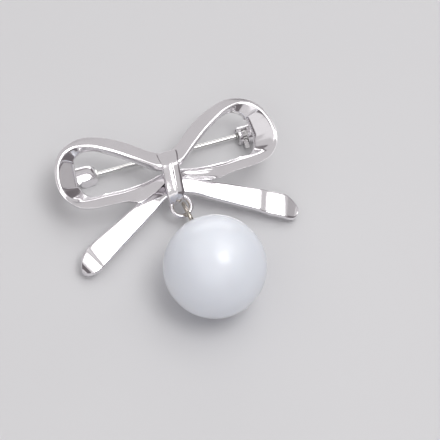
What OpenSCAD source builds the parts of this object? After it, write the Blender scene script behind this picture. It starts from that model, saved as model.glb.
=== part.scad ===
// Bow brooch with a hanging pearl, lying on its back: right is +X, bow top is +Y, front is +Z.

/* [Bow] */
// height added to every face of the loops (mm)
face_lift = 0; // [-1:0.1:1]
// thickness of the ribbon strips (mm)
strip_t = 1.1; // [0.8:0.05:1.5]
// thickness of the tails (mm)
tail_t = 1.1; // [0.8:0.05:1.5]

/* [Pearl drop] */
// pearl diameter (mm)
pearl_d = 14; // [8:0.5:16]
// pearl centre along Y (mm)
pearl_y = -9.2; // [-12:0.1:-8]
// wire diameter of the eye pin (mm)
eye_wire = 0.6; // [0.5:0.05:0.8]
// wire diameter of the fixed ring (mm)
ring_wire = 0.7; // [0.5:0.05:1]
// outer diameter of the fixed ring (mm)
ring_d = 3.5; // [3:0.1:4.5]

/* [Pin fastening] */
// height of the pin axis above the surface (mm)
pin_z = 1.25; // [1.2:0.05:2]
// place of the pin axis along Y (mm)
pin_y = 11.7; // [9:0.1:13]
// diameter of the pin stem (mm)
stem_d = 0.74; // [0.6:0.02:0.8]
// hinge axis along X (mm)
hinge_x = -10.4; // [-11:0.1:-10]
// left end of the catch along X (mm)
catch_x = 12.0; // [11.5:0.1:12.2]
// length of the catch (mm)
catch_len = 2.5; // [2.3:0.1:2.8]

/* [Hidden] */
$fn = 48;
gap = 0.05;
knuckle_r = 0.95;
knuckle_w = 1.0;
rivet_r = 0.4;
ear_t = 0.5;
slot_w = 0.86;
bore_r = 0.92;
root_t = 0.84;
root_len = 1.4;
stem_len = 22.1;
tip_len = 2.7;
house_r = sqrt(pin_z * pin_z + slot_w * slot_w / 4);
ring_y = 2.6;
ring_z = 3.1;
ring_tilt = 26;
shift_y = 0.7;
pearl_x = 0.1;
pearl_r = pearl_d / 2;
// the drop's own axis runs from the pearl centre back to the ring
drop_turn = [-22.4, 0, -3.2];
// the eye stands on edge for someone looking from the front left
eye_turn = -20;
eye_near = 10.75;
eye_far = 12.4;
eye_r = 0.95;
peg_end = 3.3;

// right loop, from the knot round to the knot:
// outer x, outer y, inner x, inner y, face height, wall foot x, y and height, depth below the outer edge
loop_rows = [
    [0.4, 9.7, 0.4, 7.6, 5.9, 0.40, 7.50, 5.55, 1.2],
    [1.7, 10.3, 1.9, 7.8, 6.0, 1.92, 7.70, 5.65, 1.2],
    [3.1, 11.4, 4.3, 9.7, 6.2, 4.36, 9.62, 5.85, 1.1],
    [5.0, 12.75, 6.3, 11.1, 6.55, 6.36, 11.02, 6.2, 1.1],
    [6.9, 13.75, 8.0, 12.1, 6.85, 8.05, 12.0, 6.5, 1.1],
    [9.0, 14.5, 9.5, 12.85, 7.1, 9.5, 12.75, 6.7, 1.1],
    [10.9, 14.8, 10.9, 13.3, 7.2, 10.9, 13.1, 6.5, 1.1],
    [12.6, 14.45, 12.2, 13.5, 7.15, 11.9, 12.9, 5.9, 1.2],
    [14.1, 13.6, 13.6, 13.05, 7.0, 12.45, 12.35, 5.5, 1.3],
    [15.15, 12.3, 14.65, 12.0, 6.85, 12.65, 11.6, 5.3, 1.3],
    [15.75, 10.8, 15.25, 10.7, 6.65, 12.75, 10.6, 5.1, 1.3],
    [16.0, 9.2, 15.5, 9.25, 6.45, 12.8, 9.5, 4.95, 1.3],
    [15.85, 7.7, 15.35, 7.9, 6.25, 12.75, 8.5, 4.85, 1.3],
    [15.2, 6.3, 14.6, 6.8, 6.05, 12.5, 7.65, 4.8, 1.3],
    [14.0, 5.2, 13.3, 6.45, 5.9, 12.0, 7.0, 4.9, 1.2],
    [12.0, 4.6, 11.6, 6.3, 5.8, 11.2, 6.5, 5.2, 1.1],
    [10.0, 4.5, 9.8, 6.3, 5.75, 9.7, 6.4, 5.4, 1.1],
    [7.6, 4.4, 7.6, 6.25, 5.6, 7.6, 6.35, 5.25, 1.1],
    [5.6, 4.1, 5.4, 6.4, 5.4, 5.4, 6.5, 5.05, 1.2],
    [3.4, 4.6, 3.4, 6.75, 5.15, 3.4, 6.85, 4.8, 1.3],
    [1.6, 5.3, 1.7, 7.2, 5.0, 1.7, 7.3, 4.65, 1.3],
    [0.4, 5.6, 0.4, 7.3, 5.0, 0.4, 7.4, 4.65, 1.3]
];

// right tail, from the knot to the tip: upper x, upper y, lower x, lower y, face height
tail_rows = [
    [0.5, 6.5, 0.1, 4.4, 4.2],
    [3.2, 5.55, 2.15, 3.75, 4.05],
    [5.7, 4.4, 4.45, 2.35, 3.8],
    [8.6, 3.1, 7.3, 0.7, 3.5],
    [11.9, 1.65, 10.65, -1.25, 3.15],
    [14.3, 0.55, 12.95, -2.6, 2.85],
    [15.35, -0.3, 14.0, -3.1, 2.6],
    [15.85, -1.25, 14.95, -3.15, 2.4],
    [16.0, -1.95, 15.65, -2.7, 2.3]
];

// knot, from the top to the bottom: y, half width, side height, crown height, underside height, middle x
knot_rows = [
    [10.15, 1.15, 5.3, 5.7, 4.9, 0.15],
    [9.8, 1.42, 5.6, 6.45, 4.5, 0.1],
    [8.8, 1.42, 5.75, 6.75, 4.2, 0.05],
    [7.1, 1.25, 5.35, 6.35, 3.7, -0.1],
    [5.4, 1.3, 4.8, 5.8, 3.2, -0.3],
    [4.0, 1.32, 4.3, 5.2, 2.9, -0.4],
    [3.45, 1.1, 3.9, 4.6, 2.9, -0.4]
];

// point k of a smooth curve through the rows, cut in n steps a row
function at(r, i) = r[max(0, min(len(r) - 1, i))];
function blend(a, b, c, d, t) =
    0.5 * (2 * b + (c - a) * t + (2 * a - 5 * b + 4 * c - d) * t * t + (3 * b - a - 3 * c + d) * t * t * t);
function smooth_rows(r, n) = [
    for (i = [0 : len(r) - 2], k = [0 : n - 1]) blend(at(r, i - 1), r[i], r[i + 1], at(r, i + 2), k / n),
    r[len(r) - 1]
];

function back(r) = [for (i = [len(r) - 1 : -1 : 0]) r[i]];

// skin over rings of m points each, closed at both ends
module skin(rings, m) {
    n = len(rings);
    points = [for (r = rings, p = r) p];
    sides = [for (i = [0 : n - 2], j = [0 : m - 1])
        each [[i * m + j, i * m + (j + 1) % m, (i + 1) * m + j],
            [i * m + (j + 1) % m, (i + 1) * m + (j + 1) % m, (i + 1) * m + j]]];
    caps = [for (j = [1 : m - 2])
        each [[0, j + 1, j], [(n - 1) * m, (n - 1) * m + j, (n - 1) * m + j + 1]]];
    polyhedron(points = points, faces = concat(sides, caps), convexity = 8);
}

// one ribbon section: top face with an outer bevel, inner wall and underside
function ribbon_ring(r) =
    let (w = norm([r[2] - r[0], r[3] - r[1]]),
        nx = (r[2] - r[0]) / w,
        ny = (r[3] - r[1]) / w,
        z = r[4] + face_lift,
        b = min(0.25, w * 0.3))
    [
        [r[0], r[1], z - b],
        [r[0] + nx * b, r[1] + ny * b, z],
        [r[2], r[3], z],
        [r[5], r[6], r[7] + face_lift],
        [r[5] - nx * 0.12, r[6] - ny * 0.12, r[7] + face_lift - strip_t + 0.35],
        [r[0] + nx * 0.3, r[1] + ny * 0.3, z - r[8]]
    ];

function tail_ring(r) =
    let (w = norm([r[2] - r[0], r[3] - r[1]]),
        nx = (r[2] - r[0]) / w,
        ny = (r[3] - r[1]) / w,
        b = min(0.2, w * 0.3))
    [
        [r[0], r[1], r[4] - b],
        [r[0] + nx * b, r[1] + ny * b, r[4]],
        [r[2] - nx * b, r[3] - ny * b, r[4]],
        [r[2], r[3], r[4] - b],
        [r[2] - nx * b, r[3] - ny * b, r[4] - tail_t],
        [r[0] + nx * b, r[1] + ny * b, r[4] - tail_t]
    ];

function knot_ring(r) = [
    [r[5] - r[1], r[0], r[4]],
    [r[5] - r[1] - 0.1, r[0], r[2]],
    [r[5] - r[1] * 0.75, r[0], r[3] - 0.25],
    [r[5] - r[1] * 0.35, r[0], r[3]],
    [r[5], r[0], r[3] - 0.15],
    [r[5] + r[1] * 0.35, r[0], r[3]],
    [r[5] + r[1] * 0.75, r[0], r[3] - 0.25],
    [r[5] + r[1] + 0.1, r[0], r[2]],
    [r[5] + r[1], r[0], r[4]]
];

module loop() skin([for (r = smooth_rows(back(loop_rows), 3)) ribbon_ring(r)], 6);

module tail() skin([for (r = smooth_rows(back(tail_rows), 3)) tail_ring(r)], 6);

module knot() skin([for (r = smooth_rows(knot_rows, 2)) knot_ring(r)], 9);

// ring fixed under the knot, leaning towards the surface at its lower side
module fixed_ring() {
    translate([0, ring_y, ring_z]) rotate([ring_tilt, 0, 0])
        rotate_extrude() translate([(ring_d - ring_wire) / 2, 0]) circle(d = ring_wire);
    // solder foot between the ring and the knot
    translate([0, ring_y + 1.5, ring_z + 0.85]) sphere(d = 1.1);
}

// bracket under the left loop: a plate, wide at the loop, over two ears with the rivet
module hinge() {
    half = knuckle_w / 2 + gap + ear_t;
    intersection() {
        translate([0, pin_y + 2, 0]) rotate([90, 0, 0]) linear_extrude(4)
            polygon([[-13.9, 5.2], [-13.1, 5.0], [-12.9, 3.6], [-12.4, 2.85], [-10.4, 2.6], [-9.7, 2.4],
                [-9.9, 2.26], [-12.2, 2.3], [-13.4, 3.3]]);
        translate([0, pin_y, -1]) linear_extrude(8)
            polygon([[-14, -1.5], [-14, 1.5], [-12.6, 1.45], [-11.4, half], [-9, half], [-9, -half],
                [-11.4, -half], [-12.6, -1.45]]);
    }
    for (s = [-1, 1]) translate([0, pin_y + s * (half - ear_t / 2), 0]) {
        translate([hinge_x, ear_t / 2, pin_z]) rotate([90, 0, 0]) cylinder(r = pin_z, h = ear_t);
        translate([hinge_x - 0.9, -ear_t / 2, pin_z]) cube([1.4, ear_t, 1.15]);
    }
    translate([hinge_x, pin_y + half - 0.1, pin_z]) rotate([90, 0, 0]) cylinder(r = rivet_r, h = 2 * half - 0.2);
}

// tube under the right loop, open below for the pin and windowed for the lever
module catch_house() {
    translate([catch_x, pin_y, pin_z]) difference() {
        union() {
            rotate([0, 90, 0]) cylinder(r = house_r, h = catch_len);
            translate([0, 0.9, 0]) rotate([90, 0, 0]) linear_extrude(1.8)
                polygon([[catch_len - 0.85, 0], [catch_len, 0], [catch_len, 4.1], [catch_len - 1.2, 3.85]]);
        }
        translate([-1, 0, 0]) rotate([0, 90, 0]) cylinder(r = bore_r, h = catch_len + 2);
        translate([-1, -slot_w / 2, -3]) cube([catch_len + 2, slot_w, 3]);
        // window for the lever
        translate([0.5, 0, 0]) rotate([90, 0, 90]) linear_extrude(0.8)
            polygon([[0, 0], [0.9, 3], [-3, 3], [-3, -1.7]]);
    }
}

module bow() color("silver") {
    loop();
    mirror([1, 0, 0]) loop();
    tail();
    mirror([1, 0, 0]) tail();
    knot();
    fixed_ring();
    hinge();
    catch_house();
}

// knuckle on the rivet, a flat root between the ears and a pointed stem
module pin_stem() color("gainsboro") translate([hinge_x, pin_y, pin_z]) difference() {
    union() {
        translate([0, knuckle_w / 2, 0]) rotate([90, 0, 0]) cylinder(r = knuckle_r, h = knuckle_w);
        translate([0, -knuckle_w / 2, -root_t / 2]) cube([root_len, knuckle_w, root_t]);
        rotate([0, 90, 0]) cylinder(d = stem_d, h = stem_len);
        translate([stem_len, 0, 0]) rotate([0, 90, 0]) cylinder(d1 = stem_d, d2 = 0.16, h = tip_len);
    }
    translate([0, 2, 0]) rotate([90, 0, 0]) cylinder(r = rivet_r + gap, h = 4);
}

// open sleeve that turns inside the tube, with a lever through the window
module catch_rotor() color("gray") translate([catch_x, pin_y, pin_z]) difference() {
    union() {
        translate([0.1, 0, 0]) rotate([0, 90, 0]) cylinder(r = bore_r - gap, h = catch_len - 0.2);
        rotate([12, 0, 0]) translate([0.6, -2.1, -0.22]) cube([0.6, 2.1, 0.44]);
    }
    translate([-1, 0, 0]) rotate([0, 90, 0]) cylinder(r = 0.48, h = catch_len + 2);
    translate([-1, -slot_w / 2, -3]) cube([catch_len + 2, slot_w, 3]);
}

// along the drop's axis, from the pearl centre
module on_drop() translate([pearl_x, pearl_y, pearl_r]) rotate(drop_turn) children();

// long eye linked through the fixed ring, with a peg glued in the pearl
module eye_pin() color("gainsboro") on_drop() {
    rotate([0, eye_turn, 0]) {
        translate([0, eye_far, 0]) rotate([0, 90, 0]) rotate_extrude(angle = 180)
            translate([eye_r, 0]) circle(d = eye_wire);
        translate([0, eye_near, 0]) rotate([180, 90, 0]) rotate_extrude(angle = 180)
            translate([eye_r, 0]) circle(d = eye_wire);
        for (s = [-1, 1]) translate([0, eye_far, s * eye_r]) rotate([90, 0, 0])
            cylinder(d = eye_wire, h = eye_far - eye_near);
    }
    translate([0, eye_near - eye_r, 0]) rotate([90, 0, 0])
        cylinder(d = eye_wire, h = eye_near - eye_r - peg_end);
}

module pearl() color("white") difference() {
    translate([pearl_x, pearl_y, pearl_r]) sphere(d = pearl_d, $fn = 96);
    on_drop() translate([0, 8, 0]) rotate([90, 0, 0]) cylinder(d = eye_wire + 0.06, h = 4.9);
}

// the whole brooch, centred over the origin
module placed() translate([0, shift_y, 0]) children();

placed() bow();
placed() pin_stem();
placed() catch_rotor();
placed() eye_pin();
placed() pearl();
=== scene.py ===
import math
import bmesh
import bpy
from mathutils import Matrix, Vector


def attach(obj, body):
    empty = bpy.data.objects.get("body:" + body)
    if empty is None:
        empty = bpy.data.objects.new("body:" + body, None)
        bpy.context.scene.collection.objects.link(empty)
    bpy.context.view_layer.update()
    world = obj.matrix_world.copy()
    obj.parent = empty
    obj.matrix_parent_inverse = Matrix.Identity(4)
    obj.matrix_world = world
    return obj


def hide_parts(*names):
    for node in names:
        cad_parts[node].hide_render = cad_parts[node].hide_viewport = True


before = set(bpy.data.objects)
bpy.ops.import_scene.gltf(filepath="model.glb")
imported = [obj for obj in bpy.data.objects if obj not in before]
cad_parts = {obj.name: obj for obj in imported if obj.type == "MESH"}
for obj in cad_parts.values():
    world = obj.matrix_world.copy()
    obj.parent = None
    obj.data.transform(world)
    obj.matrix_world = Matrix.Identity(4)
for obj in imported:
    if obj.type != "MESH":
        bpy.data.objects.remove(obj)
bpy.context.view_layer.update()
mm = 0.001
shiftY = 0.7  # the pieces are made lower by this, and move up so that the whole sits over the origin
up = Vector((0, 0, 1))
origin = (0, 0, 0)


class Shade:
    # a socket of a shader tree, so that plain sums and products add their own Math nodes
    def __init__(self, tree, out=None, node=None):
        self.tree = tree
        self.out = out
        self.node = node

    def add(self, kind, settings=None, inputs=None, out=0):
        node = self.tree.nodes.new("ShaderNode" + kind)
        for key, value in (settings or {}).items():
            setattr(node, key, value)
        for key, value in (inputs or {}).items():
            if isinstance(value, Shade):
                value.feed(node, key)
            else:
                node.inputs[key].default_value = value
        return Shade(self.tree, node.outputs[out] if node.outputs else None, node)

    def feed(self, node, socket):
        self.tree.links.new(self.out, node.inputs[socket])

    def blend(self, share, first, second):
        # the Mix node has its colours at sockets 6 and 7 and gives the mixed one at 2
        return self.add("Mix", {"data_type": "RGBA"}, {"Factor": share, 6: (*first, 1), 7: (*second, 1)}, 2)

    def maths(self, operation, first, second):
        return self.add("Math", {"operation": operation}, {0: first, 1: second})

    def __add__(self, other):
        return self.maths("ADD", self, other)

    def __radd__(self, other):
        return self.maths("ADD", other, self)

    def __mul__(self, other):
        return self.maths("MULTIPLY", self, other)

    def __rmul__(self, other):
        return self.maths("MULTIPLY", other, self)


def newMaterial(name):
    # an empty material with its shader joined to the output
    material = bpy.data.materials.new(name)
    material.use_nodes = True
    material.node_tree.nodes.clear()
    shade = Shade(material.node_tree)
    surface = shade.add("BsdfPrincipled")
    shade.add("OutputMaterial", None, {"Surface": surface})
    return material, shade, surface.node


# fineness of the cloudiness and the hairlines, how fast the hairlines change along and across a strand,
# their share in the relief, and its depth
polish = {"cloudDetail": 3.0, "hairDetail": 4.0, "along": 0.6, "across": 9,
          "hairRelief": 0.05, "relief": 0.02}


def polishedMetal(name, look):
    # polished plate: faint cloudiness, hairlines along the strands and a soft unevenness
    material, shade, surface = newMaterial(name)
    place = shade.add("TexCoord", None, None, "Object")
    cloud = shade.add("TexNoise", None, {
        "Vector": place, "Scale": 1 / (look["cloud"] * mm), "Detail": polish["cloudDetail"]})
    along = shade.add("Attribute", {"attribute_name": "along"}, None, "Fac")
    across = shade.add("Attribute", {"attribute_name": "across"}, None, "Fac")
    strip = shade.add("CombineXYZ", None, {"X": along * polish["along"], "Y": across * polish["across"]})
    hair = shade.add("TexNoise", None, {
        "Vector": strip, "Scale": 1 / look["hair"], "Detail": polish["hairDetail"]})
    shade.blend(cloud * 0.5 + hair * 0.5, look["dark"], look["bright"]).feed(surface, "Base Color")
    (look["roughness"] + cloud * look["cloudy"] + hair * look["hairy"]).feed(surface, "Roughness")
    shade.add("Bump", None, {
        "Height": cloud + hair * polish["hairRelief"], "Strength": look["bump"],
        "Distance": polish["relief"] * mm}).feed(surface, "Normal")
    surface.inputs["Metallic"].default_value = 1.0
    return material


bowLook = {"dark": (0.82, 0.80, 0.82), "bright": (0.97, 0.95, 0.97), "cloud": 2.5, "hair": 0.8,
           "roughness": 0.07, "cloudy": 0.08, "hairy": 0.06, "bump": 0.2}
pinLook = {"dark": (0.74, 0.74, 0.72), "bright": (0.92, 0.92, 0.90), "cloud": 2.0, "hair": 0.4,
           "roughness": 0.06, "cloudy": 0.08, "hairy": 0.05, "bump": 0.15}
eyeLook = {"dark": (0.48, 0.44, 0.38), "bright": (0.70, 0.66, 0.59), "cloud": 1.0, "hair": 0.3,
           "roughness": 0.12, "cloudy": 0.08, "hairy": 0.05, "bump": 0.2}
bowMetal = polishedMetal("bow_metal", bowLook)
pinMetal = polishedMetal("pin_metal", pinLook)
eyeMetal = polishedMetal("eye_metal", eyeLook)

pearlLook = {
    "pale": (0.88, 0.92, 0.99), "deep": (0.83, 0.87, 0.96), "drift": 6, "driftDetail": 2.0,
    "grain": 0.35, "grainDetail": 5.0, "roughness": 0.38, "grainy": 0.08, "bump": 0.06, "relief": 0.02,
    "skin": {
        "Specular IOR Level": 0.8, "Coat Weight": 0.7, "Coat Roughness": 0.16,
        "Subsurface Weight": 0.25, "Subsurface Radius": (1, 0.9, 0.8), "Subsurface Scale": 1.5 * mm,
    },
}


def pearlLustre(look):
    # nacre: faint drifts of colour below a clear skin, with very fine growth lines
    material, shade, surface = newMaterial("pearl")
    place = shade.add("TexCoord", None, None, "Object")
    drift = shade.add("TexNoise", None, {
        "Vector": place, "Scale": 1 / (look["drift"] * mm), "Detail": look["driftDetail"]})
    grain = shade.add("TexNoise", None, {
        "Vector": place, "Scale": 1 / (look["grain"] * mm), "Detail": look["grainDetail"]})
    shade.blend(drift, look["deep"], look["pale"]).feed(surface, "Base Color")
    (look["roughness"] + grain * look["grainy"]).feed(surface, "Roughness")
    shade.add("Bump", None, {
        "Height": grain, "Strength": look["bump"], "Distance": look["relief"] * mm}).feed(surface, "Normal")
    for socket, value in look["skin"].items():
        surface.inputs[socket].default_value = value
    return material


pearlMaterial = pearlLustre(pearlLook)
print("materials made")


def smoothRows(rows, steps):
    # more rows on a smooth curve through the given ones
    out = []
    last = len(rows) - 1
    for i in range(last):
        a, b, c, d = rows[max(i - 1, 0)], rows[i], rows[i + 1], rows[min(i + 2, last)]
        for k in range(steps):
            t = k / steps
            out.append([0.5 * (2 * q + (r - p) * t + (2 * p - 5 * q + 4 * r - s) * t * t
                               + (3 * q - p - 3 * r + s) * t ** 3) for p, q, r, s in zip(a, b, c, d)])
    out.append(list(rows[-1]))
    return out


def ease(t):
    t = min(1.0, max(0.0, t))
    return t * t * (3 - 2 * t)


def swell(x, start, rise, stop, fall):
    # grows from 0 to 1 after start and goes back to 0 before stop
    return ease((x - start) / rise) * ease((stop - x) / fall)


def loft(bm, rings, crease, rungs=()):
    # pulls one ring of edges along through the given places, then closes both ends;
    # crease is for the edges along the piece, and rungs for a few edges across it
    count = len(rings[0])
    creased = bm.edges.layers.float.new("crease_edge")
    along, across = bm.verts.layers.float.new("along"), bm.verts.layers.float.new("across")
    verts = bmesh.ops.create_circle(bm, segments=count, radius=mm)["verts"]
    edges = []
    gone = 0.0
    for i, ring in enumerate(rings):
        if i:
            gone += (Vector(ring[2]) - Vector(rings[i - 1][2])).length
            made = bmesh.ops.extrude_edge_only(bm, edges=edges)["geom"]
            fresh = {g for g in made if isinstance(g, bmesh.types.BMVert)}
            onward = []
            for v, hard in zip(verts, crease):
                side = next(e for e in v.link_edges if e.other_vert(v) in fresh)
                side[creased] = hard
                onward.append(side.other_vert(v))
            verts = onward
        for v, p in zip(verts, ring):
            v.co = Vector(p) * mm
            v[along], v[across] = gone, (Vector(p) - Vector(ring[1])).length
        edges = [bm.edges.get((verts[j], verts[(j + 1) % count])) for j in range(count)]
        if i == 0:
            bmesh.ops.holes_fill(bm, edges=edges)
        if i in rungs:
            first, last, hard = rungs[i]
            for e in edges[first:last]:
                e[creased] = hard
    bmesh.ops.holes_fill(bm, edges=edges)


def finishPiece(name, bm, material, body, levels=0, mirrored=False, nodes=(), crisp=False):
    # moves a bmesh to its place and makes it an object that rides on a body
    if mirrored:
        bmesh.ops.scale(bm, vec=(-1, 1, 1), verts=bm.verts)
    bmesh.ops.translate(bm, vec=(0, shiftY * mm, 0), verts=bm.verts)
    bmesh.ops.recalc_face_normals(bm, faces=bm.faces)
    for f in bm.faces:
        f.smooth = True
    mesh = bpy.data.meshes.new(name)
    bm.to_mesh(mesh)
    bm.free()
    piece = bpy.data.objects.new(name, mesh)
    bpy.context.scene.collection.objects.link(piece)
    mesh.materials.append(material)
    if levels:
        smooth = piece.modifiers.new("smooth", "SUBSURF")
        smooth.levels = levels
        smooth.render_levels = levels
    if crisp:
        # flat faces keep their own shading up to the narrow round of their edges
        shading = piece.modifiers.new("shading", "WEIGHTED_NORMAL")
        shading.weight = 80
    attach(piece, body)
    if nodes:
        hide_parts(*nodes)


def sharpEdges(edges, angle=0.6):
    return [e for e in edges if e.calc_face_angle(0) > angle]


def roundEdges(bm, edges, offset):
    bmesh.ops.bevel(bm, geom=edges, offset=offset * mm, segments=3, profile=0.5, affect="EDGES",
                    material=-1)


# one loop from the knot round to the knot:
# outer x, y, inner x, y, face height, wall foot x, y, height, depth, lean of the face
loopRibbon = {
    "rows": [
        [0.4, 9.75, 0.4, 7.6, 6.15, 0.4, 7.5, 5.7, 1.2, 0.4],
        [1.7, 10.35, 1.9, 7.8, 6.2, 1.92, 7.7, 5.75, 1.2, 0.45],
        [3.1, 11.4, 4.3, 9.7, 6.2, 4.36, 9.6, 5.85, 1.1, 0.42],
        [5.0, 12.75, 6.3, 11.1, 6.55, 6.36, 11.0, 6.2, 1.1, 0.4],
        [6.9, 13.75, 8.0, 12.1, 6.85, 8.05, 12.0, 6.5, 1.1, 0.37],
        [9.0, 14.5, 9.5, 12.85, 7.1, 9.5, 12.75, 6.7, 1.1, 0.32],
        [10.9, 14.8, 10.9, 13.3, 7.15, 10.9, 13.1, 6.5, 1.1, 0.28],
        [12.6, 14.45, 12.2, 13.5, 7.1, 11.9, 12.8, 6.15, 1.2, 0.2],
        [14.1, 13.6, 13.6, 13.05, 7.0, 12.45, 12.35, 5.9, 1.3, 0.13],
        [15.15, 12.3, 14.65, 12.0, 6.85, 12.65, 11.6, 5.3, 1.3, 0.07],
        [15.75, 10.8, 15.25, 10.7, 6.65, 12.75, 10.6, 5.1, 1.3, 0.07],
        [16.0, 9.2, 15.5, 9.25, 6.45, 12.8, 9.5, 4.95, 1.3, 0.07],
        [15.85, 7.7, 15.35, 7.9, 6.25, 12.75, 8.5, 4.85, 1.3, 0.03],
        [15.2, 6.3, 14.6, 6.8, 6.05, 12.5, 7.65, 4.8, 1.3, -0.13],
        [14.0, 5.2, 13.3, 6.45, 5.9, 12.0, 7.0, 4.9, 1.2, -0.25],
        [12.0, 4.6, 11.6, 6.3, 5.8, 11.2, 6.5, 5.2, 1.1, -0.25],
        [10.0, 4.5, 9.8, 6.3, 5.75, 9.7, 6.4, 5.4, 1.1, -0.3],
        [7.6, 4.4, 7.6, 6.25, 5.6, 7.6, 6.35, 5.25, 1.1, -0.3],
        [5.6, 4.2, 5.4, 6.4, 5.4, 5.4, 6.5, 5.05, 1.2, -0.25],
        [3.5, 5.0, 3.4, 6.75, 5.2, 3.4, 6.85, 4.85, 1.3, -0.3],
        [1.6, 5.8, 1.7, 7.2, 5.1, 1.7, 7.3, 4.75, 1.3, -0.3],
        [0.4, 6.0, 0.4, 7.3, 5.1, 0.4, 7.4, 4.75, 1.3, -0.3],
    ],
    "levels": 2, "steps": 4,
    "middle": 9.5, "toLower": 3,  # y of the loop's middle, and how far below it the lower strand begins
    "toEnd": (13.8, 1.2),  # x where the strand starts to turn round the end, and over how much
    "bevel": (0.26, 0.5), "bevelShare": 0.4,  # inner bevel of both strands, at most this share of the width
    "slope": (0.4, 0.5), "endSlope": 0.14,  # slope of that bevel on both strands and round the end
    "grow": 0.12,  # the lower strand is this much wider outwards
    "edge": 0.04, "crown": 0.008,
    # points over the face: share of its width, share of the hollow, share of the crown
    "face": [(0.27, 0.8, 1), (0.53, 1, 1), (0.8, 0.8, 0.6)],
    "thick": 1.1, "side": (0.16, 0.3), "footRound": (0.12, 0.35), "under": 0.45,
    "wall": (7, 9),  # the edges of a ring that lie on the end wall
    # below these y the lower strand may sag and may be hollow; the sag runs from x, over, to x, over
    "sagBelow": 6.3, "hollowBelow": 6.1, "sagSpan": (1, 2, 7.5, 2),
    "crease": [0.2, 1.0, 0, 0, 0, 0, 0.4, 0.5, 0, 0.95, 0.7, 0, 0.6],
}
# what the loops have of their own. Lower strand: the sag, and the depth and span of the gathered hollow.
# Flat wall inside the end: where it lies, x of its foot at the top and the bottom, height and rise of the
# foot, slope of the wall, ledge at the rim, fading at the bottom, and hardness of both borders
rightLoop = {
    "sag": 0.0, "deep": 0.3, "span": (1.2, 1.0, 5.9, 0.5),
    "pastX": 12, "top": 12.1, "bottom": 7.9, "foot": (12.85, 13.05), "z": 5.0, "rise": 0.2,
    "slope": 0.6, "ledge": 0.06, "belowRim": 0.1, "fade": 1.5, "hard": (1.0, 0.0),
}
leftLoop = {
    "sag": 0.35, "deep": 0.05, "span": (4.2, 1.0, 5.4, 0.5),
    "pastX": 12, "top": 12.45, "bottom": 8.4, "foot": (12.4, 12.95), "z": 5.0, "rise": 0.15,
    "slope": 0.55, "ledge": 0.2, "belowRim": 0.1, "fade": 0.05, "hard": (1.0, 1.0),
}


def onEndWall(ix, iy, own):
    return own["bottom"] < iy < own["top"] and ix > own["pastX"]


def ribbonRing(row, s, own, hollow):
    ox, oy, ix, iy, z, fx, fy, fz, deep, lean = row
    outer, inner, foot = Vector((ox, oy, 0)), Vector((ix, iy, 0)), Vector((fx, fy, 0))
    width = (inner - outer).length
    n = (inner - outer) / width
    lower = min(1.0, max(0.0, (s["middle"] - oy) / s["toLower"]))
    turned = ease((ox - s["toEnd"][0]) / s["toEnd"][1])
    bevel = min(s["bevel"][0] * (1 - lower) + s["bevel"][1] * lower, width * s["bevelShare"])
    slope = s["slope"][0] * (1 - lower) + s["slope"][1] * lower
    slope += (s["endSlope"] - slope) * turned
    zo, zi = z - lean / 2, z + lean / 2
    outer -= n * s["grow"] * lower * (1 - turned)
    width = (inner - outer).length
    crown = s["crown"] * width

    def face(t, dip):
        return outer + n * (s["edge"] + (width - bevel - s["edge"]) * t) + up * (zo + (zi - zo) * t - dip)

    rim = inner + up * (zi - slope * bevel)
    low = foot + up * fz
    mid = rim.lerp(low, 0.5)
    if onEndWall(ix, iy, own):
        share = (own["top"] - iy) / (own["top"] - own["bottom"])
        fx = own["foot"][0] * (1 - share) + own["foot"][1] * share
        fz = own["z"] + (iy - s["middle"]) * own["rise"]
        mx = ix - own["ledge"]
        mz = min(fz + (mx - fx) * own["slope"], rim.z - own["belowRim"])
        flatness = ease((iy - own["bottom"]) / own["fade"])
        low = low.lerp(Vector((fx, iy, fz)), flatness)
        mid = mid.lerp(Vector((mx, iy, mz)), flatness)
        foot, fz = Vector((low.x, low.y, 0)), low.z
    return [
        outer + n * s["side"][0] + up * (zo - s["side"][1]), outer + up * zo, face(0, 0),
        *(face(t, hollow * dip - crown * rise) for t, dip, rise in s["face"]),
        face(1, 0), rim, mid, low,
        foot - n * s["footRound"][0] + up * (fz - s["thick"] + s["footRound"][1]),
        (outer + foot) / 2 + up * ((z + fz) / 2 - s["thick"]), outer + n * s["under"] + up * (z - deep),
    ]


def makeLoop(name, s, own, mirrored):
    bm = bmesh.new()
    rings, rungs = [], {}
    wasFlat = False
    for row in smoothRows(s["rows"], s["steps"]):
        # close to the knot the lower strand may sag and be hollow
        if row[1] < s["sagBelow"]:
            row[1] -= own["sag"] * swell(row[0], *s["sagSpan"])
        hollow = own["deep"] * swell(row[0], *own["span"]) if row[1] < s["hollowBelow"] else 0.0
        flat = onEndWall(row[2], row[3], own)
        if flat and not wasFlat:
            rungs[len(rings)] = (*s["wall"], own["hard"][0])
        if wasFlat and not flat:
            rungs[len(rings) - 1] = (*s["wall"], own["hard"][1])
        wasFlat = flat
        rings.append(ribbonRing(row, s, own, hollow))
    loft(bm, rings, s["crease"], rungs)
    finishPiece(name, bm, bowMetal, "brooch", s["levels"], mirrored)


makeLoop("loop_right", loopRibbon, rightLoop, False)
makeLoop("loop_left", loopRibbon, leftLoop, True)
print("loops made")

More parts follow.
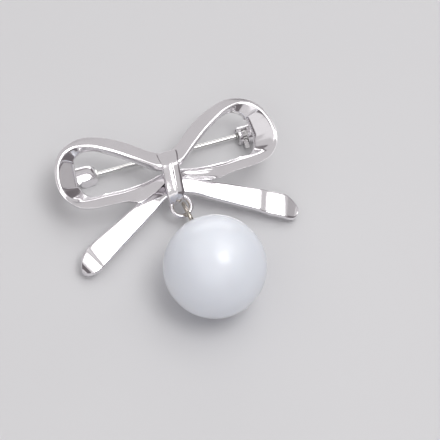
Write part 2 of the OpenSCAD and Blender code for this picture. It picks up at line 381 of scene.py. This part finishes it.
# one tail from the knot to the tip: upper x, y, lower x, y, face height, lean towards the front edge
tailRibbon = {
    "rows": [
        [0.5, 6.5, 0.1, 4.4, 4.2, 0.1],
        [3.2, 5.55, 2.15, 3.75, 4.1, 0.25],
        [5.7, 4.4, 4.45, 2.35, 3.85, 0.4],
        [8.6, 3.1, 7.3, 0.7, 3.5, 0.45],
        [11.9, 1.65, 10.65, -1.25, 3.15, 0.5],
        [13.4, 1.0, 12.1, -2.1, 2.95, 0.5],
        [14.5, 0.45, 13.15, -2.7, 2.75, 0.35],
        [15.35, -0.3, 14.0, -3.1, 2.5, 0.2],
        [15.85, -1.25, 14.95, -3.15, 2.3, 0.1],
        [16.0, -1.95, 15.65, -2.7, 2.2, 0.0],
    ],
    "levels": 2, "steps": 6, "thick": 1.0, "edge": 0.12, "edgeShare": 0.25, "belly": 0.05,
    "root": (2.5, 3),  # the root's own lean ends over this much after this x
    "face": (0.33, 0.67),  # points over the face, as shares of its width
    "crease": [0.7, 0.9, 0, 0, 0.9, 0.7, 0.7, 0, 0.7],
}
# the lean at each tail's root, and the creases across its tip: from x, to x, rise
rightTail = {"root": 0.35, "bends": [(10.6, 12.0, -0.3), (12.1, 14.0, 0.15), (13.3, 13.45, -0.05),
                                     (13.5, 13.65, 0.05), (14.1, 15.6, -0.4)]}
leftTail = {"root": -0.6, "bends": [(13.7, 13.95, -0.08), (13.95, 15.3, 0.2), (15.2, 15.8, -0.35)]}


def tailRing(row, s, own):
    ux, uy, lx, ly, z, lean = row
    lean += own["root"] * (1 - ease((ux - s["root"][0]) / s["root"][1]))
    for start, end, rise in own["bends"]:
        z += rise * ease(((ux + lx) / 2 - start) / (end - start))
    a, b = Vector((ux, uy, 0)), Vector((lx, ly, 0))
    n = (b - a).normalized()
    edge = min(s["edge"], (b - a).length * s["edgeShare"])
    za, zb = z + lean / 2, z - lean / 2
    top, bottom = a + n * edge, b - n * edge
    return [
        a + up * (za - edge), top + up * za,
        *(top.lerp(bottom, t) + up * (za * (1 - t) + zb * t) for t in s["face"]),
        bottom + up * zb, b + up * (zb - edge), bottom + up * (zb - s["thick"]),
        a.lerp(b, 0.5) + up * (z - s["thick"] - s["belly"]), top + up * (za - s["thick"]),
    ]


def makeTail(name, s, own, mirrored):
    bm = bmesh.new()
    loft(bm, [tailRing(row, s, own) for row in smoothRows(s["rows"], s["steps"])], s["crease"])
    finishPiece(name, bm, bowMetal, "brooch", s["levels"], mirrored)


makeTail("tail_right", tailRibbon, rightTail, False)
makeTail("tail_left", tailRibbon, leftTail, True)
print("tails made")

# the wrap round the middle, from the top to the bottom:
# y, left x, right x, height of its edges, rise of its middle, underside
knotWrap = {
    "rows": [
        [9.9, -1.25, 1.55, 5.5, 0.06, 4.9],
        [9.78, -1.42, 1.66, 6.05, 0.2, 4.8],
        [9.66, -1.46, 1.7, 6.14, 0.2, 4.7],
        [9.3, -1.48, 1.68, 6.2, 0.2, 4.4],
        [8.9, -1.48, 1.6, 6.28, 0.2, 4.2],
        [8.3, -1.42, 1.4, 6.37, 0.24, 4.1],
        [7.5, -1.4, 1.25, 6.36, 0.34, 3.9],
        [6.6, -1.45, 1.15, 6.02, 0.36, 3.6],
        [5.8, -1.55, 1.1, 5.66, 0.36, 3.4],
        [4.8, -1.7, 1.0, 5.2, 0.36, 3.1],
        [3.9, -1.75, 0.9, 4.78, 0.32, 2.9],
        [3.4, -1.7, 0.6, 4.4, 0.2, 2.8],
        [3.0, -1.6, -0.3, 3.9, 0.1, 2.7],
    ],
    # across the wrap: share of the width, then the share of the rise at five places down its length
    "folds": [
        [0.04, 0.0, 0.0, 0.0, 0.0, 0.0],
        [0.08, 0.4, 0.24, 0.1, 0.28, 0.2],
        [0.13, 0.5, 0.28, 0.2, 0.3, 0.24],
        [0.3, 0.65, 0.5, 0.5, 0.5, 0.5],
        [0.45, 0.8, 0.82, 0.74, 0.76, 0.8],
        [0.51, 0.88, 0.9, 0.5, 0.7, 0.9],
        [0.56, 0.92, 1.0, 1.0, 0.98, 1.0],
        [0.59, 0.92, 1.0, 1.0, 0.94, 0.95],
        [0.75, 0.84, 0.72, 0.7, 0.7, 0.6],
        [0.84, 0.8, 0.66, 0.5, 0.5, 0.4],
        [0.89, 0.75, 0.66, 0.35, 0.3, 0.2],
        [0.96, 0.0, 0.0, 0.0, 0.0, 0.0],
    ],
    "levels": 2, "steps": 3, "side": 0.3, "tuck": 0.15,
}


def makeKnot(name, s):
    bm = bmesh.new()
    rings = []
    top, foot = s["rows"][0][0], s["rows"][-1][0]
    spans = len(s["folds"][0]) - 2  # between the five places
    for y, left, right, edge, rise, under in smoothRows(s["rows"], s["steps"]):
        gone = (top - y) / (top - foot) * spans
        i = min(spans - 1, int(gone))
        ring = [(left + s["tuck"], y, under), (left, y, edge - s["side"])]
        for t, *shares in s["folds"]:
            share = shares[i] + (shares[i + 1] - shares[i]) * ease(gone - i)
            ring.append((left + (right - left) * t, y, edge + rise * share))
        ring += [(right, y, edge - s["side"]), (right - s["tuck"], y, under)]
        rings.append(ring)
    loft(bm, rings, [0.0] * len(rings[0]))
    finishPiece(name, bm, bowMetal, "brooch", s["levels"], False, ["bow"])


makeKnot("knot", knotWrap)
print("knot made")

ringWire = {"y": 2.6, "z": 3.1, "tilt": 26, "radius": 1.4, "wire": 0.35, "sides": 16, "steps": 64,
            # the bead of solder: radius, and how far it lies from the ring's middle
            "bead": 0.55, "beadY": 1.5, "beadZ": 0.85, "beadSides": (24, 14)}


def makeWireRing(name, s):
    # round wire bent into a ring below the knot, with its solder
    bm = bmesh.new()
    wire = bmesh.ops.create_circle(bm, segments=s["sides"], radius=s["wire"] * mm)["verts"]
    bmesh.ops.rotate(bm, verts=wire, cent=origin, matrix=Matrix.Rotation(math.pi / 2, 3, "X"))
    bmesh.ops.translate(bm, verts=wire, vec=(s["radius"] * mm, 0, 0))
    bmesh.ops.spin(bm, geom=bm.verts[:] + bm.edges[:], cent=origin, axis=(0, 0, 1),
                   angle=2 * math.pi, steps=s["steps"], use_merge=True)
    tilt = Matrix.Rotation(math.radians(s["tilt"]), 3, "X")
    bmesh.ops.rotate(bm, verts=bm.verts, cent=origin, matrix=tilt)
    bmesh.ops.translate(bm, verts=bm.verts, vec=(0, s["y"] * mm, s["z"] * mm))
    bead = Matrix.Translation((0, (s["y"] + s["beadY"]) * mm, (s["z"] + s["beadZ"]) * mm))
    around, down = s["beadSides"]
    bmesh.ops.create_uvsphere(bm, u_segments=around, v_segments=down, radius=s["bead"] * mm, matrix=bead)
    finishPiece(name, bm, bowMetal, "brooch")


makeWireRing("ring", ringWire)
print("ring made")

hingeBracket = {
    "x": -10.4, "y": 11.7, "z": 1.25, "ear": 0.5, "earSides": 64, "gap": 1.1, "edge": 0.07, "round": 0.08,
    "steps": 3,
    # the strip from its curled nose to the loop: inner x, z, outer x, z, front y, back y
    "strip": [
        [0.86, 0.60, 1.11, 0.77, -0.85, 0.85],
        [0.67, 0.80, 0.87, 1.03, -1.0, 0.95],
        [0.44, 0.95, 0.57, 1.22, -1.1, 1.0],
        [0.10, 1.04, 0.12, 1.35, -1.15, 1.03],
        [-0.3, 1.05, -0.3, 1.38, -1.2, 1.05],
        [-1.0, 1.05, -1.0, 1.38, -1.3, 1.06],
        [-1.5, 1.05, -1.5, 1.38, -1.45, 1.08],
        [-2.0, 1.05, -2.03, 1.38, -1.6, 1.12],
        [-2.3, 1.25, -2.3, 1.6, -1.7, 1.2],
        [-2.5, 1.7, -2.5, 2.4, -1.7, 1.3],
        [-2.7, 2.3, -2.65, 3.4, -1.6, 1.4],
        [-3.3, 2.9, -3.2, 3.7, -1.5, 1.4],
    ],
    "side": (0.25, 0.75),  # points up the strip's sides, as shares of its thickness
}


def makeBracket(name, s):
    # a strip curled over the knuckle, running back level and then up to the loop, with two round ears
    bm = bmesh.new()
    rings = []
    for xi, zi, xo, zo, front, back in smoothRows(s["strip"], s["steps"]):
        e, middle = s["edge"], (front + back) / 2
        side = [(xi * (1 - k) + xo * k, zi * (1 - k) + zo * k) for k in s["side"]]
        ring = [(xi, back - e, zi), (xi, middle, zi), (xi, front + e, zi)]
        ring += [(x, front, z) for x, z in side]
        ring += [(xo, front + e, zo), (xo, middle, zo), (xo, back - e, zo)]
        ring += [(x, back, z) for x, z in reversed(side)]
        rings.append(ring)
    loft(bm, rings, [0.0] * len(rings[0]))
    strip = set(bm.edges)
    for side in (-1, 1):
        away = Matrix.Translation((0, side * (s["gap"] + s["ear"]) / 2 * mm, 0))
        bmesh.ops.create_cone(bm, cap_ends=True, segments=s["earSides"], radius1=s["z"] * mm,
                              radius2=s["z"] * mm, depth=s["ear"] * mm,
                              matrix=away @ Matrix.Rotation(math.pi / 2, 4, "X"))
    roundEdges(bm, sharpEdges(e for e in bm.edges if e not in strip), s["round"])
    bmesh.ops.translate(bm, verts=bm.verts, vec=(s["x"] * mm, s["y"] * mm, s["z"] * mm))
    finishPiece(name, bm, bowMetal, "brooch", crisp=True)


makeBracket("hinge_bracket", hingeBracket)
print("hinge bracket made")

catchTube = {
    "x": 12.0, "length": 2.5, "y": 11.7, "z": 1.25, "inner": 0.92, "outer": 1.32, "round": 0.05,
    # half angle of the slot for the pin, and the lever's window along and round the tube
    "slot": 28, "window": (0.5, 1.3), "open": (73, 209),
    "step": 5, "fewest": 10,  # degrees to a step of the round wall, and its fewest steps
    # the neck up to the loop: x of its near side below and above, far x, width, foot, near and far height
    "neck": {"near": (1.65, 1.3), "far": 2.5, "wide": 1.8, "foot": 1.1, "high": (3.85, 4.1)},
}


def spinWall(bm, s, x0, x1, first, last):
    # a piece of the tube's wall between two angles, counted from +Y towards +Z
    made = bmesh.ops.create_grid(bm, x_segments=1, y_segments=1, size=1)["verts"]
    for v in made:
        v.co = Vector((x0 if v.co.x < 0 else x1, s["inner"] if v.co.y < 0 else s["outer"], 0)) * mm
    geom = made + [e for e in bm.edges if e.verts[0] in made] + [f for f in bm.faces if f.verts[0] in made]
    bmesh.ops.rotate(bm, verts=made, cent=origin, matrix=Matrix.Rotation(math.radians(first), 3, "X"))
    bmesh.ops.spin(bm, geom=geom, cent=origin, axis=(1, 0, 0), angle=math.radians(last - first),
                   steps=max(s["fewest"], int((last - first) / s["step"])))


def makeCatch(name, s):
    bm = bmesh.new()
    low, high = -90 + s["slot"], 270 - s["slot"]  # the slot is open to the back
    a, b = s["window"]
    spinWall(bm, s, 0, a, low, high)
    spinWall(bm, s, b, s["length"], low, high)
    spinWall(bm, s, a, b, low, s["open"][0])
    spinWall(bm, s, a, b, s["open"][1], high)
    neck = s["neck"]
    for v in bmesh.ops.create_cube(bm, size=1)["verts"]:
        near, top = v.co.x < 0, v.co.z > 0
        x = neck["near"][1 if top else 0] if near else neck["far"]
        z = neck["high"][0 if near else 1] if top else neck["foot"]
        v.co = Vector((x, v.co.y * neck["wide"], z)) * mm
    bmesh.ops.translate(bm, verts=bm.verts, vec=(s["x"] * mm, s["y"] * mm, s["z"] * mm))
    roundEdges(bm, sharpEdges(bm.edges), s["round"])
    finishPiece(name, bm, bowMetal, "brooch", crisp=True)


makeCatch("catch_tube", catchTube)
print("catch made")

pearlBall = {"x": 0.1, "y": -9.2, "radius": 7.0, "turn": (-22.4, 0, -3.2), "around": 128, "down": 80,
             "hole": 0.5, "dip": 0.12}


def makePearl(name, s):
    # a ball turned with its drilled hole towards the ring
    bm = bmesh.new()
    bmesh.ops.create_uvsphere(bm, u_segments=s["around"], v_segments=s["down"], radius=s["radius"] * mm)
    hole = s["hole"] * mm
    for v in bm.verts:
        away = math.hypot(v.co.x, v.co.y)
        if v.co.z > 0 and away < hole:
            v.co.z -= s["dip"] * mm * (1 - away / hole)
    bmesh.ops.rotate(bm, verts=bm.verts, cent=origin, matrix=Matrix.Rotation(-math.pi / 2, 3, "X"))
    for axis, angle in zip("XYZ", s["turn"]):
        turn = Matrix.Rotation(math.radians(angle), 3, axis)
        bmesh.ops.rotate(bm, verts=bm.verts, cent=origin, matrix=turn)
    bmesh.ops.translate(bm, verts=bm.verts, vec=(s["x"] * mm, s["y"] * mm, s["radius"] * mm))
    finishPiece(name, bm, pearlMaterial, "brooch", nodes=["pearl"])


makePearl("pearl_ball", pearlBall)
print("pearl made")

for node, material in (("pin_stem", pinMetal), ("catch_rotor", pinMetal), ("eye_pin", eyeMetal)):
    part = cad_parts[node]
    part.data.materials.clear()
    part.data.materials.append(material)
print("pin, sleeve and eye finished")

cameraPlace = {"azimuth": -32.59, "elevation": 61.5, "roll": 13.5, "target": (5.35, 1.2, -0.21),
               "distance": 300, "lens": 176, "sensor": 36, "clip": (0.01, 10)}


def placeCamera(s):
    az, el = math.radians(s["azimuth"]), math.radians(s["elevation"])
    back = Vector((math.sin(az) * math.cos(el), -math.cos(az) * math.cos(el), math.sin(el)))
    data = bpy.data.cameras.new("camera")
    data.lens = s["lens"]
    data.sensor_width = s["sensor"]
    data.clip_start, data.clip_end = s["clip"]
    camera = bpy.data.objects.new("camera", data)
    roll = Matrix.Rotation(math.radians(s["roll"]), 4, "Z")
    turn = back.to_track_quat("Z", "Y").to_matrix().to_4x4() @ roll
    camera.matrix_world = Matrix.Translation((Vector(s["target"]) + back * s["distance"]) * mm) @ turn
    bpy.context.scene.collection.objects.link(camera)
    bpy.context.scene.camera = camera


placeCamera(cameraPlace)

studio = {
    "sky": (0.165, 0.15, 0.158),
    # direction, distance, width, height, brightness
    "lamps": {
        "canopy": ((0.0, 0.1, 1.0), 0.6, 1.6, 1.6, 0.42),
        "over": ((0.28, 0.09, 1.0), 0.45, 0.36, 0.17, 1.5),
        "level": ((0.257, 0.402, 0.879), 0.45, 0.12, 0.12, 1.4),
        "spark": ((0.17, -0.2, 0.97), 0.4, 0.16, 0.16, 5.0),
        "back": ((0.25, 0.95, 0.16), 0.5, 0.5, 0.22, 1.6),
        "side": ((-0.62, 0.2, 0.75), 0.5, 0.3, 0.3, 0.25),
        "wall": ((0.88, 0.17, 0.43), 0.5, 0.24, 0.24, 0.3),
        "front": ((-0.45, -0.7, 0.55), 0.6, 0.7, 0.5, 0.5),
    },
    "overhead": 0.6,  # a steeper lamp has its height along y, and a lower one upright
}


def lightStudio(s):
    world = bpy.data.worlds.new("studio")
    bpy.context.scene.world = world
    world.use_nodes = True
    world.node_tree.nodes["Background"].inputs["Color"].default_value = (*s["sky"], 1)
    for name, (way, far, wide, high, bright) in s["lamps"].items():
        data = bpy.data.lights.new(name, "AREA")
        data.shape = "RECTANGLE"
        data.size, data.size_y = wide, high
        data.energy = bright * math.pi * wide * high
        lamp = bpy.data.objects.new(name, data)
        way = Vector(way).normalized()
        side = Vector((0, 1, 0) if way.z > s["overhead"] else (0, 0, 1)).cross(way).normalized()
        turn = Matrix((side, way.cross(side), way)).transposed().to_4x4()
        lamp.matrix_world = Matrix.Translation(way * far) @ turn
        bpy.context.scene.collection.objects.link(lamp)


floorLook = {"half": 1.5, "colour": (0.68, 0.68, 0.69), "roughness": 0.6}


def layFloor(s):
    bm = bmesh.new()
    bmesh.ops.create_grid(bm, x_segments=1, y_segments=1, size=s["half"])
    mesh = bpy.data.meshes.new("floor")
    bm.to_mesh(mesh)
    bm.free()
    floor = bpy.data.objects.new("floor", mesh)
    bpy.context.scene.collection.objects.link(floor)
    material, _, surface = newMaterial("floor_paint")
    surface.inputs["Base Color"].default_value = (*s["colour"], 1)
    surface.inputs["Roughness"].default_value = s["roughness"]
    mesh.materials.append(material)


lightStudio(studio)
layFloor(floorLook)
bpy.context.scene.view_settings.view_transform = "Standard"
print("studio ready")

bpy.context.view_layer.update()
